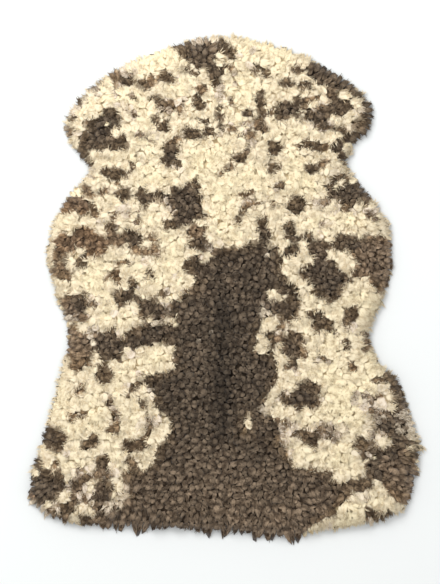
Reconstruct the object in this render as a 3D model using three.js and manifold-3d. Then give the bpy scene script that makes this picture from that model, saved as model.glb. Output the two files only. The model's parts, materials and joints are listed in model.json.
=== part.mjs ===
// A curly shearling rug: one whole sheep pelt, tanned with its wool on, lying flat with the wool up.
// Millimetres, +Z up. The origin is on the floor under the middle of the rug. +Y runs along the
// backbone towards the neck, and +X is on the right of someone who looks down at the wool.
// The pelt is one piece, so it is one solid: a slab with a flat skin side, a lumpy wool side that
// rolls down to the floor at its edge, and a rim of locks that lie out on the floor.

import * as THREE from 'three';
import { mergeVertices } from 'three/addons/utils/BufferGeometryUtils.js';
import Module from 'manifold-3d';

const wasm = await Module();
wasm.setup();
const { Manifold, Mesh: SolidMesh } = wasm;

// Driving sizes.
const NECK_DEPTH = 24; // pile and skin at the neck end
const RUMP_DEPTH = 31; // the wool is longer over the rump
const EDGE_DEPTH = 13; // where the roll of the wool meets the rim locks
const EDGE_ROLL = 30; // width over which the wool rolls down to that
const CLUMP_PITCH = 36; // distance between clumps of curls
const CLUMP_RISE = 7; // clump top above the creases round it
const CLUMP_STRAY = 0.36; // how far a clump strays from its even place, as a share of the lattice pitch
const CLUMP_UNEVENNESS = 3.5; // how much tops and creases differ among themselves
const SWELL_RISE = 2.4; // slow rise and fall of the whole wool side
const SWELL_LENGTH = 150;
const PARTING_DEPTH = 5; // the parting of the wool along the backbone
const PARTING_HALF_WIDTH = 17;
const NECK_ALONG = 450; // where the pile is as deep as NECK_DEPTH says
const RUMP_ALONG = -450; // where it is as deep as RUMP_DEPTH says
const OUTLINE_STEPS = 140; // corners of the slab's edge
const RIM_LOCKS = 156; // locks round the whole edge
const RIM_LOCK_OUT = 7; // from the slab's edge to the edge of the wool
const RIM_LOCK_ROOT = 9; // how deep a lock's root lies in the slab
// A usual lock at the rim, from its least size to its greatest.
const RIM_LOCK = {
  reach: [4, 11],
  width: [14, 22],
  rise: [9, 12.5],
  bend: [-4, 4],
  tip: [0.3, 0.6], // width of the blunt tip, as a share of the lock's
  stray: [-0.3, 0.3], // along the rim, as a share of the distance between locks
};
const TUFT = { rise: 12.5, tip: 0.18, bend: [-3, 3], sway: [-0.12, 0.12] };
const TRIM_SPARE = 25; // what the uncut block has on every side of the pelt
const TRIM_HEIGHT = 80;
const WOOL_COLOUR = 0xe9d9b6;
const WOOL_ROUGHNESS = 0.95;

// The edge of the wool, once round from the nape by the left side, seen from above.
// across is along X and along is along Y; the curve through the marks gives the rest.
const EDGE_MARKS = [
  { mark: 'nape', across: -23, along: 481 },
  { mark: 'left neck', across: -112, along: 455 },
  { mark: 'left cheek', across: -188, along: 425 },
  { mark: 'left fore shank', across: -255, along: 378 },
  { mark: 'left fore knee', across: -298, along: 318 },
  { mark: 'left fore elbow', across: -277, along: 267 },
  { mark: 'left armpit', across: -252, along: 228 },
  { mark: 'left shoulder', across: -296, along: 175 },
  { mark: 'left breast', across: -322, along: 118 },
  { mark: 'left ribs', across: -331, along: 62 },
  { mark: 'left belly', across: -315, along: -7 },
  { mark: 'left flank', across: -292, along: -82 },
  { mark: 'left groin', across: -314, along: -190 },
  { mark: 'left thigh', across: -343, along: -292 },
  { mark: 'left hock', across: -369, along: -372 },
  { mark: 'left hind foot', across: -361, along: -403 },
  { mark: 'left buttock', across: -304, along: -433 },
  { mark: 'left of the dock', across: -198, along: -444 },
  { mark: 'dock', across: -60, along: -450 },
  { mark: 'right of the dock', across: 59, along: -457 },
  { mark: 'rump tip', across: 122, along: -463 },
  { mark: 'right buttock', across: 190, along: -449 },
  { mark: 'right hind foot', across: 296, along: -433 },
  { mark: 'right hind toe', across: 338, along: -411 },
  { mark: 'right hock', across: 357, along: -366 },
  { mark: 'right shank', across: 366, along: -304 },
  { mark: 'right thigh', across: 343, along: -212 },
  { mark: 'right stifle', across: 324, along: -168 },
  { mark: 'right groin', across: 290, along: -138 },
  { mark: 'right flank', across: 272, along: -76 },
  { mark: 'right belly', across: 300, along: -8 },
  { mark: 'right ribs', across: 316, along: 50 },
  { mark: 'right breast', across: 306, along: 127 },
  { mark: 'right shoulder', across: 260, along: 197 },
  { mark: 'right armpit', across: 231, along: 228 },
  { mark: 'right fore elbow', across: 237, along: 270 },
  { mark: 'right fore knee', across: 278, along: 320 },
  { mark: 'right fore shank', across: 271, along: 358 },
  { mark: 'right cheek', across: 209, along: 411 },
  { mark: 'right neck', across: 116, along: 455 },
];

// Locks that stand out from the edge, mostly at the rump: the place on the edge that each is next
// to, how far it reaches past the slab's edge, and its width.
const EDGE_TUFTS = [
  { tuft: 'left buttock', across: -222, along: -443, reach: 15, width: 28 },
  { tuft: 'beside it', across: -196, along: -444, reach: 16, width: 24 },
  { tuft: 'left rump', across: -160, along: -446, reach: 25, width: 30 },
  { tuft: 'left of the tail', across: -30, along: -452, reach: 19, width: 18 },
  { tuft: 'tail', across: 2, along: -454, reach: 24, width: 20 },
  { tuft: 'right of the tail', across: 60, along: -457, reach: 21, width: 22 },
  { tuft: 'right rump', across: 86, along: -460, reach: 18, width: 24 },
  { tuft: 'rump tip', across: 129, along: -463, reach: 26, width: 30 },
  { tuft: 'right shank', across: 366, along: -294, reach: 15, width: 22 },
  { tuft: 'right hock', across: 364, along: -340, reach: 13, width: 26 },
  { tuft: 'left hind foot', across: -366, along: -390, reach: 13, width: 24 },
];

// An even spread of numbers from 0 to 1 that is the same each time for the same seed.
function scatter(seed) {
  const wave = Math.sin(seed * 127.1 + 11.7) * 43758.5453;
  return wave - Math.floor(wave);
}

function between([least, greatest], seed) {
  return THREE.MathUtils.lerp(least, greatest, scatter(seed));
}

function solidOf(geometry) {
  const plain = geometry.clone();
  plain.deleteAttribute('normal');
  plain.deleteAttribute('uv');
  const merged = mergeVertices(plain, 1e-4);
  return new Manifold(new SolidMesh({
    numProp: 3,
    vertProperties: new Float32Array(merged.attributes.position.array),
    triVerts: new Uint32Array(merged.index.array),
  }));
}

function geometryOf(solid) {
  const mesh = solid.getMesh();
  const geometry = new THREE.BufferGeometry();
  geometry.setAttribute('position', new THREE.BufferAttribute(mesh.vertProperties, 3));
  geometry.setIndex(new THREE.BufferAttribute(mesh.triVerts, 1));
  geometry.computeVertexNormals();
  return geometry;
}

// The wool's edge as a closed curve, its corners, and the outward direction at each.
const edgeCurve = new THREE.CatmullRomCurve3(
  EDGE_MARKS.map(({ across, along }) => new THREE.Vector3(across, along, 0)),
  true,
  'centripetal',
);

function edgePlace(share) {
  const point = edgeCurve.getPointAt(share % 1);
  const tangent = edgeCurve.getTangentAt(share % 1);
  const outward = new THREE.Vector3(tangent.y, -tangent.x, 0);
  return { point, outward };
}

function slabEdge() {
  const corners = [];
  for (let step = 0; step < OUTLINE_STEPS; step += 1) {
    const { point, outward } = edgePlace(step / OUTLINE_STEPS);
    corners.push(point.addScaledVector(outward, -RIM_LOCK_OUT));
  }
  return corners;
}

// How far a place is inside the slab's edge; negative outside it.
function insideDistance(x, y, corners) {
  let nearest = Infinity;
  let inside = false;
  corners.forEach((from, index) => {
    const to = corners[(index + 1) % corners.length];
    const dx = to.x - from.x;
    const dy = to.y - from.y;
    const share = THREE.MathUtils.clamp(
      ((x - from.x) * dx + (y - from.y) * dy) / (dx * dx + dy * dy),
      0,
      1,
    );
    nearest = Math.min(nearest, Math.hypot(x - from.x - share * dx, y - from.y - share * dy));
    const crosses = (from.y > y) !== (to.y > y);
    if (crosses && x < from.x + ((y - from.y) * dx) / dy) inside = !inside;
  });
  return inside ? nearest : -nearest;
}

// Height of the wool side over the floor, at a clump's top or in the crease beside it.
function woolHeight(x, y, isTop, seed, corners) {
  const towardsRump = THREE.MathUtils.clamp((NECK_ALONG - y) / (NECK_ALONG - RUMP_ALONG), 0, 1);
  const depth = THREE.MathUtils.lerp(NECK_DEPTH, RUMP_DEPTH, towardsRump);
  const parting = PARTING_DEPTH * Math.exp(-((x / PARTING_HALF_WIDTH) ** 2));
  const clump = CLUMP_RISE * (isTop ? 0.45 : -0.55) + CLUMP_UNEVENNESS * (scatter(seed) - 0.5);
  const turn = (2 * Math.PI) / SWELL_LENGTH;
  const swell = SWELL_RISE * Math.sin(x * turn + 0.011 * y) * Math.sin(y * turn * 0.8);
  const full = depth + clump + swell - parting * towardsRump;
  const inside = THREE.MathUtils.clamp(insideDistance(x, y, corners) / EDGE_ROLL, 0, 1);
  const roll = Math.sqrt(1 - (1 - inside) ** 2);
  return THREE.MathUtils.lerp(EDGE_DEPTH, full, roll);
}

// A block larger than the pelt, with the wool side on top, as a lattice of triangles. Every third
// point of the lattice is a clump's top, and the six round it are its crease.
function woolBlock(corners) {
  const room = new THREE.Box2().setFromPoints(corners).expandByScalar(TRIM_SPARE);
  const size = room.getSize(new THREE.Vector2());
  const pitch = CLUMP_PITCH / Math.sqrt(3);
  const columns = Math.round(size.x / pitch);
  const rows = Math.round(size.y / (pitch * Math.sqrt(0.75)));
  const places = [];
  const triangles = [];
  const indexOf = (column, row) => row * (columns + 1) + column;
  for (let row = 0; row <= rows; row += 1) {
    for (let column = 0; column <= columns; column += 1) {
      const seed = row * 61 + column * 17;
      const free = column > 0 && column < columns && row > 0 && row < rows ? 1 : 0;
      const shift = free * ((row % 2) / 2 + CLUMP_STRAY * (scatter(seed + 0.3) - 0.5));
      const lift = free * CLUMP_STRAY * (scatter(seed + 0.6) - 0.5);
      const x = room.min.x + (size.x * (column + shift)) / columns;
      const y = room.min.y + (size.y * (row + lift)) / rows;
      const isTop = (column - Math.floor(row / 2) - row + 3 * rows) % 3 === 0;
      places.push(x, y, woolHeight(x, y, isTop, seed, corners));
    }
  }
  for (let row = 0; row < rows; row += 1) {
    for (let column = 0; column < columns; column += 1) {
      const a = indexOf(column, row);
      const b = indexOf(column + 1, row);
      const c = indexOf(column + 1, row + 1);
      const d = indexOf(column, row + 1);
      if (row % 2) triangles.push(a, b, c, a, c, d);
      else triangles.push(a, b, d, b, c, d);
    }
  }
  const below = places.length / 3;
  places.push(room.min.x, room.min.y, -TRIM_SPARE, room.max.x, room.min.y, -TRIM_SPARE);
  places.push(room.max.x, room.max.y, -TRIM_SPARE, room.min.x, room.max.y, -TRIM_SPARE);
  triangles.push(below, below + 2, below + 1, below, below + 3, below + 2);
  // Each side wall is a fan from one bottom corner, closed by a last triangle to the next one.
  const walls = [
    { from: 0, to: 1, top: Array.from({ length: columns + 1 }, (_, i) => indexOf(i, 0)) },
    { from: 1, to: 2, top: Array.from({ length: rows + 1 }, (_, i) => indexOf(columns, i)) },
    { from: 2, to: 3, top: Array.from({ length: columns + 1 }, (_, i) => indexOf(columns - i, rows)) },
    { from: 3, to: 0, top: Array.from({ length: rows + 1 }, (_, i) => indexOf(0, rows - i)) },
  ];
  walls.forEach(({ from, to, top }) => {
    for (let i = 0; i + 1 < top.length; i += 1) triangles.push(below + from, top[i + 1], top[i]);
    triangles.push(below + from, below + to, top[top.length - 1]);
  });
  const geometry = new THREE.BufferGeometry();
  geometry.setAttribute('position', new THREE.Float32BufferAttribute(places, 3));
  geometry.setIndex(triangles);
  return solidOf(geometry);
}

// The pelt's outline as an upright block that stands on the floor.
function outlineBlock(corners) {
  const shape = new THREE.Shape(corners.map(({ x, y }) => new THREE.Vector2(x, y)));
  return solidOf(new THREE.ExtrudeGeometry(shape, { depth: TRIM_HEIGHT, bevelEnabled: false }));
}

// One lock: a three-sided wedge whose flat side lies on the floor, from its root in the slab to a
// blunt tip. The ridge runs down its middle and the tip bends to one side.
function lockWedge({ root, outward, reach, width, rise, bend, tip }) {
  const side = new THREE.Vector3(-outward.y, outward.x, 0);
  const at = (out, across, up) => root.clone()
    .addScaledVector(outward, out)
    .addScaledVector(side, across)
    .add(new THREE.Vector3(0, 0, up));
  const belly = { out: reach * 0.5, halfWidth: width * 0.42, across: bend * 0.4, up: rise * 0.75 };
  const corners = [
    at(-RIM_LOCK_ROOT, -width / 2, 0),
    at(-RIM_LOCK_ROOT, width / 2, 0),
    at(-RIM_LOCK_ROOT, 0, rise),
    at(belly.out, belly.across - belly.halfWidth, 0),
    at(belly.out, belly.across + belly.halfWidth, 0),
    at(belly.out, belly.across, belly.up),
    at(reach, bend - (width * tip) / 2, 0),
    at(reach, bend + (width * tip) / 2, 0),
  ];
  const faces = [
    0, 2, 1,
    0, 4, 3, 0, 1, 4,
    1, 5, 4, 1, 2, 5,
    2, 3, 5, 2, 0, 3,
    3, 4, 7, 3, 7, 6,
    4, 5, 7,
    5, 3, 6,
    5, 6, 7,
  ];
  const geometry = new THREE.BufferGeometry();
  geometry.setAttribute('position', new THREE.Float32BufferAttribute(corners.flatMap((c) => c.toArray()), 3));
  geometry.setIndex(faces);
  return solidOf(geometry);
}

function rimLocks() {
  const locks = [];
  for (let index = 0; index < RIM_LOCKS; index += 1) {
    const stray = between(RIM_LOCK.stray, index);
    const { point, outward } = edgePlace((index + 0.5 + stray) / RIM_LOCKS);
    locks.push(lockWedge({
      root: point.addScaledVector(outward, -RIM_LOCK_OUT),
      outward,
      reach: between(RIM_LOCK.reach, index + 0.21),
      width: between(RIM_LOCK.width, index + 0.43),
      rise: between(RIM_LOCK.rise, index + 0.65),
      bend: between(RIM_LOCK.bend, index + 0.87),
      tip: between(RIM_LOCK.tip, index + 0.12),
    }));
  }
  return locks;
}

// The share of the way round at which the edge comes nearest to a place.
function nearestShare(across, along) {
  const place = new THREE.Vector3(across, along, 0);
  const tries = 2000;
  let best = { share: 0, miss: Infinity };
  for (let step = 0; step < tries; step += 1) {
    const miss = edgeCurve.getPointAt(step / tries).distanceTo(place);
    if (miss < best.miss) best = { share: step / tries, miss };
  }
  return best.share;
}

function edgeTufts() {
  const up = new THREE.Vector3(0, 0, 1);
  return EDGE_TUFTS.map(({ across, along, reach, width }, index) => {
    const { point, outward } = edgePlace(nearestShare(across, along));
    return lockWedge({
      root: point.addScaledVector(outward, -RIM_LOCK_OUT),
      outward: outward.applyAxisAngle(up, between(TUFT.sway, index + 0.5)),
      reach,
      width,
      rise: TUFT.rise,
      bend: between(TUFT.bend, index),
      tip: TUFT.tip,
    });
  });
}

const slabCorners = slabEdge();
const slab = woolBlock(slabCorners).intersect(outlineBlock(slabCorners));
const wholePelt = Manifold.union([slab, ...rimLocks(), ...edgeTufts()]);

const pelt = new THREE.Mesh(
  geometryOf(wholePelt),
  new THREE.MeshStandardMaterial({ color: WOOL_COLOUR, roughness: WOOL_ROUGHNESS, metalness: 0 }),
);
pelt.name = 'pelt';

// The origin is under the middle of the whole rug's box.
const middle = new THREE.Box3().setFromObject(pelt).getCenter(new THREE.Vector3());
pelt.position.set(-middle.x, -middle.y, 0);

const rug = new THREE.Group();
rug.add(pelt);

export default rug;
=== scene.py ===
"""A curly shearling rug: one whole sheep pelt lying flat with its wool up, in a plain studio."""

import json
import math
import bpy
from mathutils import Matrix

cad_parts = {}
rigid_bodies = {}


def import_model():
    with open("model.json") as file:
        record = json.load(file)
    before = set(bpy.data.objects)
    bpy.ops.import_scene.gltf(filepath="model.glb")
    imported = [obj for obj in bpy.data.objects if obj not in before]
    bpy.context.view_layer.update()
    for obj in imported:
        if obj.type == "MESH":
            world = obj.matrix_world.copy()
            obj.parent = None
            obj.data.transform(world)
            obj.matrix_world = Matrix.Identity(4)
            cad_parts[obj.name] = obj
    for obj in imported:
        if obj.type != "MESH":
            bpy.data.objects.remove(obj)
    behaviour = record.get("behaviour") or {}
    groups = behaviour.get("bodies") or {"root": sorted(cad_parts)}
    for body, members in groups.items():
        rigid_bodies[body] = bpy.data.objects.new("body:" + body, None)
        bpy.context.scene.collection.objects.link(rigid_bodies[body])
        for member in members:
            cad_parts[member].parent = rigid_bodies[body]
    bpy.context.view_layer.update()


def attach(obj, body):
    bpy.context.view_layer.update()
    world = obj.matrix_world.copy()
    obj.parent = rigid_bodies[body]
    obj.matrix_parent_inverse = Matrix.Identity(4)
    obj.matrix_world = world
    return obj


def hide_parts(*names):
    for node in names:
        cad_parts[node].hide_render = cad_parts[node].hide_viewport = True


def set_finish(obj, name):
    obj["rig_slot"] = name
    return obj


bl_info = {
    "name": "Curly Shearling Rug",
    "version": (1, 0, 0),
    "blender": (4, 5, 0),
    "location": "3D View > Sidebar > Rug",
    "description": "Makes a whole sheep pelt with its curls, skin and rim locks, and a studio",
    "category": "Object",
}

from collections import namedtuple
from functools import lru_cache

import bpy
import numpy as np
from bpy.props import FloatProperty, FloatVectorProperty, IntProperty, PointerProperty
from mathutils import Vector
from mathutils.geometry import delaunay_2d_cdt
from mathutils.kdtree import KDTree

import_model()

MM = 0.001
BODY = "root"
NODE = "pelt"

# The photograph's height in pixels, and how much of the floor one of them shows.
PHOTO_HEIGHT = 584
MM_A_PIXEL = 1.9

# Wool darker than this grows brown curls. Every curl is tried for in this many places, and has
# this many sides.
BROWN_FROM = 0.5
TRIES = 150000
SIDES = 8

# The edge of the wool in millimetres, once round from the nape by the left side: across is along X
# and along is along Y, the neck at the top.
EDGE_MARKS = [
    (-23, 481), (-112, 455), (-188, 425), (-255, 378), (-298, 318),  # nape to the left fore knee
    (-277, 267), (-252, 228), (-296, 175), (-322, 118), (-331, 62),  # armpit to the left ribs
    (-315, -7), (-292, -82), (-314, -190), (-343, -292), (-369, -372),  # flank to the left hock
    (-361, -403), (-304, -433), (-198, -444), (-60, -450), (59, -457),  # hind foot to the dock
    (122, -463), (190, -449), (296, -433), (338, -411), (357, -366),  # rump to the right hock
    (366, -304), (343, -212), (324, -168), (290, -138), (272, -76),  # shank to the right flank
    (300, -8), (316, 50), (306, 127), (260, 197), (231, 228),  # belly to the right armpit
    (237, 270), (278, 320), (271, 358), (209, 411), (116, 455),  # fore leg to the neck
]

# Long locks that stand out from the edge: across, along, reach past the edge and width.
EDGE_TUFTS = [
    (-222, -443, 9, 28), (-196, -444, 10, 24), (-160, -446, 19, 30), (-30, -452, 13, 18),
    (2, -454, 18, 20), (60, -457, 15, 22), (86, -460, 12, 24), (129, -463, 20, 30),
    (366, -294, 9, 22), (364, -340, 7, 26), (-366, -390, 7, 24),
]

# The brown saddle over the loin and rump in millimetres: along, left edge and right edge.
SADDLE_ROWS = [
    (80, -12, 60), (76, -18, 103), (62, -22, 106), (55, -44, 107), (40, -52, 110), (30, -50, 117),
    (20, -52, 124), (10, -56, 132), (2, -66, 144), (-6, -84, 145), (-20, -96, 145),
    (-27, -101, 144), (-40, -103, 142), (-55, -105, 143), (-60, -108, 110), (-70, -116, 104),
    (-85, -120, 100), (-100, -104, 100), (-112, -92, 100), (-125, -97, 98), (-143, -91, 99),
    (-150, -110, 99), (-158, -148, 98), (-170, -150, 99), (-180, -140, 92), (-190, -135, 84),
    (-200, -128, 82), (-215, -124, 80), (-228, -118, 86), (-240, -106, 94), (-252, -104, 98),
    (-265, -104, 100), (-280, -114, 102), (-300, -122, 118), (-320, -130, 122), (-330, -140, 132),
    (-338, -165, 165), (-341, -188, 200), (-355, -190, 206), (-363, -188, 228), (-372, -188, 238),
    (-385, -187, 240), (-400, -187, 230), (-410, -190, 215), (-420, -236, 205), (-430, -245, 195),
    (-438, -245, 178), (-450, -240, 160), (-460, -240, 147), (-490, -240, 140),
]

# What a patch of the coat is made of: how dark it is, how much neighbouring curls differ, and which
# of the wool's dark colours it has.
Coat = namedtuple("Coat", "darkness grizzle hue")
DARK, BROWN, RUST = Coat(1.0, 0.15, 0.0), Coat(1.0, 0.15, 0.6), Coat(1.0, 0.15, 1.0)
GRIZZLED, PALE, FROSTED = Coat(0.74, 0.8, 0.25), Coat(0.4, 0.75, 0.3), Coat(0.62, 0.65, 0.3)
CREAM = Coat(0.0, 0.0, 0.0)

# The patches in millimetres: middle, half sizes, coat, and turn in degrees where they have one.
# Cream and frosted ones lie over those before them.
Patch = namedtuple("Patch", "across along half_across half_along coat turn", defaults=[0])
NECK_PATCHES = [
    (-243, 320, 22, 9, DARK, 12), (-212, 332, 17, 14, DARK), (-207, 313, 9, 8, DARK),
    (-236, 298, 17, 15, DARK), (-224, 277, 42, 14, DARK), (-194, 283, 10, 12, DARK, -15),
    (-207, 298, 11, 5, CREAM, 10), (-262, 256, 20, 10, DARK, -38), (-248, 235, 4, 14, GRIZZLED, 5),
    (-284, 325, 7, 7, DARK), (-288, 305, 8, 12, GRIZZLED), (-266, 290, 9, 12, GRIZZLED, 20),
    (-276, 352, 5, 10, GRIZZLED, -30), (-258, 374, 4, 12, PALE, -38),
    (-234, 395, 5, 13, GRIZZLED, -48), (-214, 415, 14, 4, GRIZZLED, 30),
    (-179, 395, 13, 8, DARK, -5), (-181, 411, 14, 8, GRIZZLED), (-206, 406, 11, 7, BROWN, 20),
    (-152, 390, 14, 8, DARK, -28), (-137, 398, 7, 10, BROWN), (-127, 360, 16, 9, DARK, -20),
    (-114, 345, 10, 8, GRIZZLED), (-180, 342, 10, 5, BROWN, -15), (-171, 334, 9, 5, GRIZZLED, -20),
    (-130, 325, 10, 9, DARK), (-117, 312, 17, 8, DARK, -15), (-150, 295, 14, 3, GRIZZLED, 5),
    (-136, 282, 8, 4, BROWN, -10), (-169, 367, 8, 4, GRIZZLED), (-240, 372, 5, 9, PALE),
    (-205, 383, 5, 8, PALE), (-190, 350, 16, 4, PALE, -10), (-155, 262, 9, 5, PALE),
    (-52, 458, 36, 19, GRIZZLED, 6), (-85, 463, 14, 6, DARK, 15), (-40, 470, 13, 9, GRIZZLED),
    (-68, 449, 16, 10, DARK), (-35, 442, 14, 10, DARK, -20), (-48, 432, 14, 8, DARK, -25),
    (-30, 428, 20, 9, DARK, -35), (-14, 412, 12, 12, DARK), (-16, 396, 8, 9, DARK),
    (-72, 418, 8, 7, DARK, -20), (-57, 410, 10, 4, DARK, -20), (-20, 446, 5, 5, DARK),
    (0, 465, 9, 14, DARK, 20), (12, 449, 6, 10, DARK, 25), (8, 424, 11, 6, BROWN, -15),
    (-110, 404, 12, 9, DARK), (-44, 382, 11, 6, BROWN), (-50, 362, 9, 9, DARK),
    (-43, 351, 7, 10, DARK, 20), (-8, 372, 9, 17, PALE), (14, 360, 6, 5, DARK),
    (62, 421, 13, 7, DARK, -15), (84, 411, 8, 10, DARK, 30), (69, 358, 10, 18, DARK),
    (46, 337, 10, 9, DARK), (73, 312, 9, 15, DARK, 35), (76, 336, 10, 7, GRIZZLED),
    (-8, 330, 7, 14, DARK), (-6, 307, 9, 9, DARK, -20), (-33, 320, 17, 5, DARK, -22),
    (-28, 301, 11, 6, DARK, -15), (-60, 298, 13, 8, DARK, -10), (-83, 343, 5, 9, BROWN, 10),
    (-104, 350, 14, 12, GRIZZLED), (-88, 287, 8, 4, BROWN, 15), (-99, 272, 13, 11, DARK),
    (-102, 250, 15, 11, DARK), (-86, 234, 7, 7, GRIZZLED), (14, 304, 7, 4, BROWN),
    (33, 295, 7, 8, GRIZZLED, 20), (50, 295, 8, 7, BROWN), (47, 276, 7, 8, GRIZZLED),
    (30, 251, 11, 9, DARK, 40), (10, 235, 9, 6, BROWN, -10), (44, 266, 6, 10, GRIZZLED),
    (-3, 224, 6, 4, BROWN), (142, 419, 14, 8, DARK, 10), (118, 395, 14, 8, DARK, -8),
    (158, 388, 12, 7, DARK, -5), (172, 418, 11, 9, DARK), (196, 405, 40, 18, DARK, -30),
    (208, 389, 22, 10, DARK, -15), (250, 375, 20, 6, DARK, -48), (205, 368, 9, 12, DARK, 10),
    (212, 308, 28, 7, DARK, -8), (188, 349, 11, 5, DARK, -15), (252, 344, 7, 8, FROSTED),
    (177, 342, 20, 6, GRIZZLED, 10), (113, 342, 14, 17, DARK), (133, 351, 22, 13, DARK, 20),
    (160, 364, 16, 5, BROWN, 10), (184, 350, 10, 6, GRIZZLED, -20), (178, 331, 28, 10, DARK, 12),
    (214, 342, 17, 13, DARK), (233, 350, 13, 11, DARK, 15), (270, 346, 11, 15, DARK),
    (262, 322, 20, 16, DARK, 20), (205, 310, 38, 8, GRIZZLED, -4), (226, 302, 24, 8, DARK, -15),
    (240, 292, 20, 11, DARK), (262, 306, 12, 12, DARK), (165, 320, 9, 6, GRIZZLED),
    (99, 275, 10, 13, DARK), (92, 258, 9, 7, DARK), (94, 233, 10, 8, DARK),
    (162, 274, 18, 9, DARK, -5), (188, 275, 9, 11, BROWN, -35), (213, 278, 12, 10, DARK),
    (221, 251, 10, 14, DARK, 15), (190, 245, 9, 6, BROWN, 15), (167, 228, 12, 8, DARK, -10),
    (210, 207, 14, 8, DARK, 35), (199, 199, 8, 6, DARK), (227, 213, 5, 8, BROWN),
    (240, 330, 13, 8, CREAM, 15), (251, 354, 7, 7, CREAM), (223, 370, 11, 8, CREAM, -20),
]
SIDE_PATCHES = [
    (238, 182, 34, 21, DARK, 3), (258, 184, 17, 19, BROWN), (214, 195, 8, 4, CREAM, 35),
    (174, 169, 9, 5, GRIZZLED), (192, 167, 8, 5, GRIZZLED), (140, 166, 19, 14, DARK, 25),
    (132, 151, 13, 9, DARK), (92, 168, 7, 5, BROWN, -20), (108, 197, 9, 3, GRIZZLED),
    (280, 145, 12, 5, GRIZZLED, -20), (226, 152, 14, 4, PALE), (192, 122, 12, 7, PALE),
    (46, 183, 13, 3, BROWN, 5), (58, 164, 15, 3, BROWN, 4), (35, 148, 8, 13, DARK, -15),
    (27, 136, 12, 7, DARK, 10), (74, 118, 13, 20, DARK), (126, 108, 9, 23, DARK, 5),
    (157, 98, 12, 14, DARK, 10), (128, 74, 16, 12, DARK), (178, 78, 20, 18, DARK, 20),
    (92, 68, 14, 17, DARK), (142, 95, 8, 16, PALE), (232, 90, 34, 13, DARK, 2),
    (282, 68, 38, 42, BROWN, -5), (260, 40, 17, 18, BROWN), (294, 30, 19, 28, BROWN, 18),
    (196, 14, 38, 32, DARK, -5), (180, 48, 22, 10, DARK, 10), (160, 31, 18, 14, DARK, -20),
    (188, -60, 31, 14, DARK, -44), (238, -49, 10, 20, DARK, -30), (231, -101, 5, 9, DARK, 15),
    (247, -143, 15, 9, BROWN, -30), (266, -80, 7, 8, GRIZZLED), (269, -102, 6, 16, BROWN),
    (178, -128, 16, 3, GRIZZLED), (176, -112, 3, 14, GRIZZLED, -5), (-205, 224, 25, 8, DARK, -5),
    (-174, 233, 7, 10, DARK, -20), (-204, 205, 5, 5, BROWN), (-227, 188, 7, 8, BROWN),
    (-254, 186, 7, 16, BROWN, 40), (-192, 181, 12, 11, DARK), (-150, 181, 13, 12, DARK),
    (-149, 168, 8, 10, DARK), (-125, 179, 12, 9, DARK, 20), (-68, 172, 27, 26, DARK),
    (-76, 140, 17, 19, DARK), (-55, 150, 15, 10, DARK, -10), (-88, 190, 12, 8, DARK, -15),
    (-40, 142, 12, 4, DARK), (-100, 165, 14, 16, GRIZZLED, -20), (-102, 127, 18, 10, DARK, 25),
    (-50, 201, 10, 7, DARK, -20), (-70, 206, 8, 6, GRIZZLED), (-52, 112, 15, 9, BROWN),
    (-288, 162, 22, 13, RUST, 25), (-268, 157, 12, 12, RUST), (-297, 150, 8, 7, DARK),
    (-245, 151, 6, 10, BROWN, 28), (-210, 143, 6, 9, BROWN, -15), (-173, 145, 8, 9, GRIZZLED),
    (-163, 132, 7, 10, GRIZZLED, 25), (-222, 127, 17, 6, GRIZZLED), (-255, 92, 50, 15, RUST, 2),
    (-300, 88, 22, 20, RUST, 10), (-266, 113, 15, 9, RUST, -10), (-245, 72, 22, 9, RUST, 15),
    (-214, 100, 10, 15, BROWN), (-308, 60, 14, 22, BROWN), (-170, 98, 15, 19, DARK, 10),
    (-165, 75, 8, 8, BROWN), (-197, 95, 8, 11, BROWN, 10), (-185, 112, 8, 5, GRIZZLED),
    (-135, 103, 11, 6, BROWN, 38), (-131, 77, 7, 9, BROWN), (-152, 76, 8, 5, BROWN, -20),
    (-308, 32, 18, 14, BROWN), (-268, 52, 12, 11, DARK, 20), (-198, 54, 6, 4, BROWN),
    (-182, 56, 6, 6, DARK, -20), (-139, 29, 10, 8, DARK, 20), (-208, 28, 13, 10, BROWN, -20),
    (-200, 17, 11, 9, BROWN), (-173, 15, 6, 14, DARK, -5), (-187, -11, 24, 13, DARK, -10),
    (-140, -35, 24, 18, DARK, -5), (-112, -38, 12, 16, GRIZZLED), (-114, -6, 8, 3, GRIZZLED, 25),
    (-290, -22, 17, 15, BROWN), (-270, -20, 13, 17, DARK, -30), (-248, -25, 9, 10, GRIZZLED),
    (-283, -50, 18, 9, GRIZZLED), (-281, -75, 11, 13, BROWN), (-274, -115, 21, 34, BROWN),
    (-252, -90, 10, 17, GRIZZLED), (-214, -104, 26, 29, DARK, 15), (-160, -86, 37, 20, DARK, 12),
    (-118, -82, 20, 18, DARK), (-240, -138, 8, 8, CREAM), (-229, -157, 15, 16, DARK),
    (-272, -190, 10, 6, BROWN, 30), (-264, -180, 4, 8, BROWN, -10), (-168, -184, 22, 5, DARK, 38),
    (-45, 86, 23, 12, DARK, -5), (-61, 50, 15, 18, DARK), (-16, 70, 9, 10, DARK),
    (-35, 63, 12, 6, CREAM, 15), (-128, -60, 26, 5, FROSTED, 8),
]
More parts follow.
